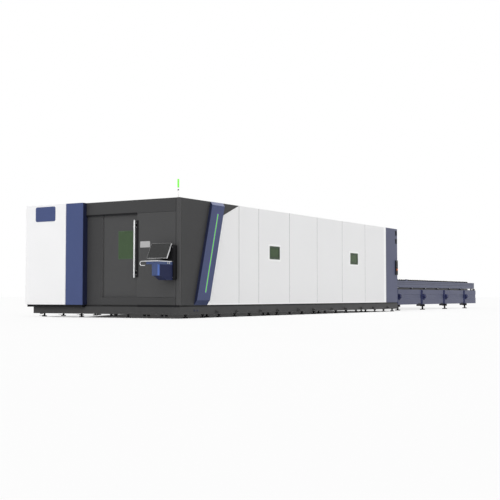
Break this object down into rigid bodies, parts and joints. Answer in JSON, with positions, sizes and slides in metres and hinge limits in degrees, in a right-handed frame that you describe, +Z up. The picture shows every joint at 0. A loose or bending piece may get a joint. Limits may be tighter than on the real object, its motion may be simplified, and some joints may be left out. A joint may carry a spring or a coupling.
{
  "type": "fiber laser cutting machine",
  "caption": "Enclosed fiber laser cutting machine with a sliding front door, operator console, slanted lit pillar, inner gantry with cutting head, rear gate and two-level pallet exchange table.",
  "frame": {"origin": "centre of the footprint's length and of the cabin's width, on the floor", "axes": "+X from the operator's front towards the exchange table, +Y to the left seen when looking along +X, +Z up"},
  "size_m": [21.56, 4.341, 2.951],
  "materials": {
    "dark_paint": "satin powder coat, fine texture",
    "plinth_paint": "satin powder coat, coarse texture",
    "white_paint": "satin powder coat",
    "blue_paint": "metallic satin powder coat",
    "navy_paint": "satin powder coat",
    "pallet_paint": "satin powder coat, worn edges",
    "machine_steel": "ground steel",
    "slat_steel": "scale and soot on mild steel",
    "rail_steel": "hardened and ground",
    "beam_aluminium": "anodised",
    "black_steel": "black oxide",
    "handle_metal": "satin anodised",
    "black_plastic": "fine moulded texture",
    "screen_glass": "dark anti-glare screen",
    "laser_glass": "dark green laser safety pane",
    "strip_light": "lit green diffuser",
    "lamp_light": "lit green diffuser",
    "nozzle_copper": "turned copper",
    "button_red": "moulded"
  },
  "bodies": {
    "machine": {"plinth_sides": "plinth_paint", "plinth_front": "plinth_paint", "levelling_feet": "black_steel", "corner_post": "dark_paint", "front_header": "dark_paint", "front_sill": "dark_paint", "front_fixed_panel": "dark_paint", "front_left_panel": "dark_paint", "front_pillar": "blue_paint", "front_cabinet": "white_paint", "door_rail": "rail_steel", "right_dark_panels": "dark_paint", "right_lead_panel": "white_paint", "right_slant_pillar": "blue_paint", "light_strip": "strip_light", "right_plain_panels": "white_paint", "right_window_panels": "white_paint", "side_window_frames": "black_plastic", "side_window_panes": "laser_glass", "left_panels": "white_paint", "roof_panels": "white_paint", "rear_columns": "blue_paint", "rear_header": "blue_paint", "bed_beams": "dark_paint", "bed_cross_members": "dark_paint", "bed_tracks": "machine_steel", "gantry_rails": "rail_steel", "table_sides": "blue_paint", "lift_drive_covers": "navy_paint", "table_cross_beams": "black_steel", "table_feet": "black_steel", "console_back_box": "black_steel", "console_arm": "blue_paint", "keyboard_tray": "handle_metal", "keyboard": "black_plastic", "monitor": "handle_metal", "rear_control_box": "black_plastic", "tower_pole": "machine_steel", "tower_lamp": "lamp_light", "laser_source": "white_paint"},
    "front_door": {"front_door": "dark_paint", "door_window": "laser_glass", "door_handle": "handle_metal", "door_hangers": "machine_steel"},
    "rear_gate": {"rear_gate": "dark_paint"},
    "gantry": {"gantry_trucks": "dark_paint", "gantry_beam": "beam_aluminium"},
    "carriage": {"carriage": "machine_steel"},
    "cutting_head": {"cutting_head": "beam_aluminium", "nozzle": "nozzle_copper"},
    "exchange_lift": {"lift_webs": "machine_steel", "lift_tracks": "rail_steel", "lift_cross_beams": "dark_paint"},
    "upper_pallet": {"upper_pallet_frame": "pallet_paint", "upper_slats": "slat_steel"},
    "lower_pallet": {"lower_pallet_frame": "pallet_paint", "lower_slats": "slat_steel"},
    "console_button_1": {"console_button_1": "machine_steel"},
    "console_button_2": {"console_button_2": "machine_steel"},
    "rear_stop_button": {"rear_stop_button": "button_red"}
  },
  "joints": [
    {"name": "front_door_slide", "type": "slide", "parent": "machine", "child": "front_door", "axis": [0, 1, 0], "range_m": [0, 0.89]},
    {"name": "rear_gate_lift", "type": "slide", "parent": "machine", "child": "rear_gate", "axis": [0, 0, 1], "range_m": [-0.695, 0]},
    {"name": "gantry_travel", "type": "slide", "parent": "machine", "child": "gantry", "axis": [1, 0, 0], "range_m": [0, 8.25]},
    {"name": "carriage_travel", "type": "slide", "parent": "gantry", "child": "carriage", "axis": [0, 1, 0], "range_m": [-1.3, 1.3]},
    {"name": "head_lift", "type": "slide", "parent": "carriage", "child": "cutting_head", "axis": [0, 0, 1], "range_m": [-0.315, 0]},
    {"name": "exchange_lift_travel", "type": "slide", "parent": "machine", "child": "exchange_lift", "axis": [0, 0, 1], "range_m": [0, 0.39]},
    {"name": "upper_pallet_travel", "type": "slide", "parent": "exchange_lift", "child": "upper_pallet", "axis": [1, 0, 0], "range_m": [-9.2, 0]},
    {"name": "lower_pallet_travel", "type": "slide", "parent": "exchange_lift", "child": "lower_pallet", "axis": [1, 0, 0], "range_m": [-9.2, 0]},
    {"name": "console_button_1_press", "type": "slide", "parent": "machine", "child": "console_button_1", "axis": [0, 1, 0], "range_m": [0, 0.004], "stiffness_N_per_m": 800, "springref_m": -0.002},
    {"name": "console_button_2_press", "type": "slide", "parent": "machine", "child": "console_button_2", "axis": [0, 1, 0], "range_m": [0, 0.004], "stiffness_N_per_m": 800, "springref_m": -0.002},
    {"name": "rear_stop_press", "type": "slide", "parent": "machine", "child": "rear_stop_button", "axis": [0, 1, 0], "range_m": [0, 0.005], "stiffness_N_per_m": 2000, "springref_m": -0.004}
  ]
}
